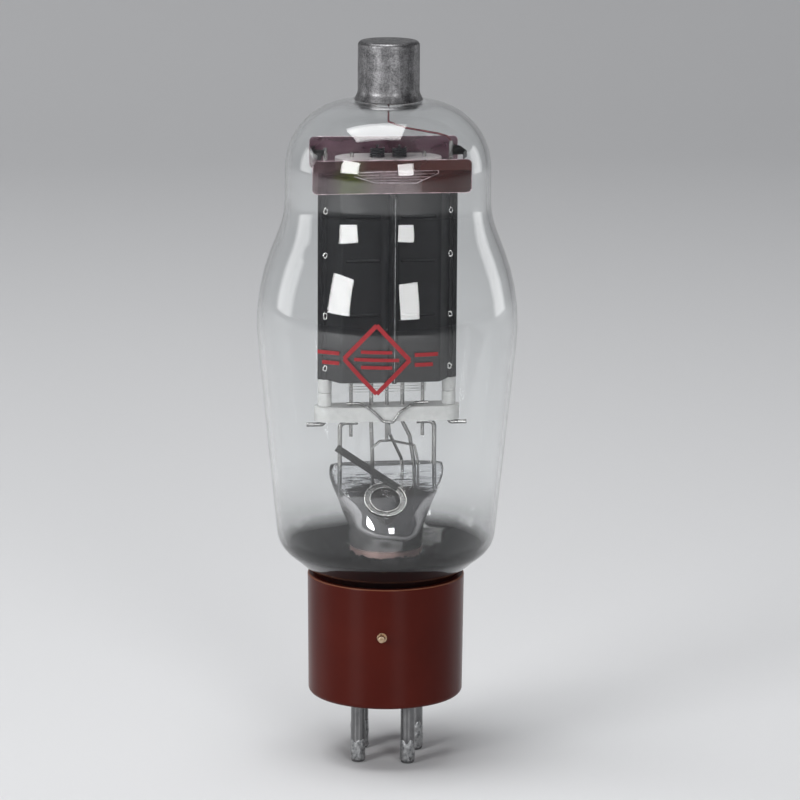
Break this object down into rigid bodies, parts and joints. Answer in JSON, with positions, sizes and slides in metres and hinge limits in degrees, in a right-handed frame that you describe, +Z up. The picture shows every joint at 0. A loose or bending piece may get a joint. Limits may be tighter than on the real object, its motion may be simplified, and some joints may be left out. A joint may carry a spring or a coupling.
{
  "type": "power triode tube",
  "caption": "Glass power triode with a shouldered bulb, an anode cap on top, visible electrodes and a four-pin bayonet base.",
  "frame": {"origin": "on the tube's axis, at the level of the pin tips", "axes": "+Z up along the tube's axis to the anode cap; X along the electrodes' broad side; -Y is the front"},
  "size_m": [0.058, 0.058, 0.1628],
  "materials": {
    "bulb_glass": "clear, smoked with metal film near the base",
    "stem_glass": "pressed glass with a metal film",
    "cap_metal": "dull tinned metal",
    "cement": "matt cement",
    "base_plastic": "dark red moulded resin, soft gloss",
    "brass": "worn brass",
    "pin_metal": "bright plated pins",
    "solder": "rough dipped solder",
    "anode_sheet": "matt charcoal coated sheet",
    "rod_metal": "bright nickel wire",
    "ceramic": "white unglazed ceramic",
    "mica": "thin brown-tinted mica",
    "grid_wire": "fine drawn wire",
    "filament_wire": "dark tungsten",
    "spring_wire": "blackened spring wire",
    "getter_metal": "bright nickel strip"
  },
  "bodies": {
    "root": {"anode_back": "anode_sheet", "anode_front": "anode_sheet", "anode_rod_left": "rod_metal", "anode_rod_right": "rod_metal", "base_cement": "cement", "base_pin_front_left": "pin_metal", "base_pin_front_right": "pin_metal", "base_pin_rear_left": "pin_metal", "base_pin_rear_right": "pin_metal", "base_shell": "base_plastic", "base_wire_grid": "rod_metal", "base_wire_left": "rod_metal", "base_wire_right": "rod_metal", "bayonet_pin": "brass", "bush_left_1": "ceramic", "bush_left_2": "ceramic", "bush_right_1": "ceramic", "bush_right_2": "ceramic", "cap_cement": "cement", "cap_lead": "rod_metal", "centre_post": "rod_metal", "centre_support": "rod_metal", "exhaust_tube": "stem_glass", "filament": "filament_wire", "filament_hook_left": "spring_wire", "filament_hook_right": "spring_wire", "filament_lead_left": "rod_metal", "filament_lead_right": "rod_metal", "filament_spring_left": "spring_wire", "filament_spring_right": "spring_wire", "front_mica_shield": "mica", "getter_ring": "getter_metal", "getter_strap": "getter_metal", "glass_bulb": "bulb_glass", "glass_stem": "stem_glass", "grid_bridle": "rod_metal", "grid_lead": "rod_metal", "grid_rod_left": "rod_metal", "grid_rod_right": "rod_metal", "grid_winding": "grid_wire", "lower_insulator": "ceramic", "mica_clip_left": "rod_metal", "mica_clip_right": "rod_metal", "mica_spacer": "mica", "pin_solder_front_left": "solder", "pin_solder_front_right": "solder", "pin_solder_rear_left": "solder", "pin_solder_rear_right": "solder", "rear_mica_shield": "mica", "support_wire_left": "rod_metal", "support_wire_right": "rod_metal", "top_cap": "cap_metal", "upper_insulator": "ceramic"}
  },
  "joints": []
}
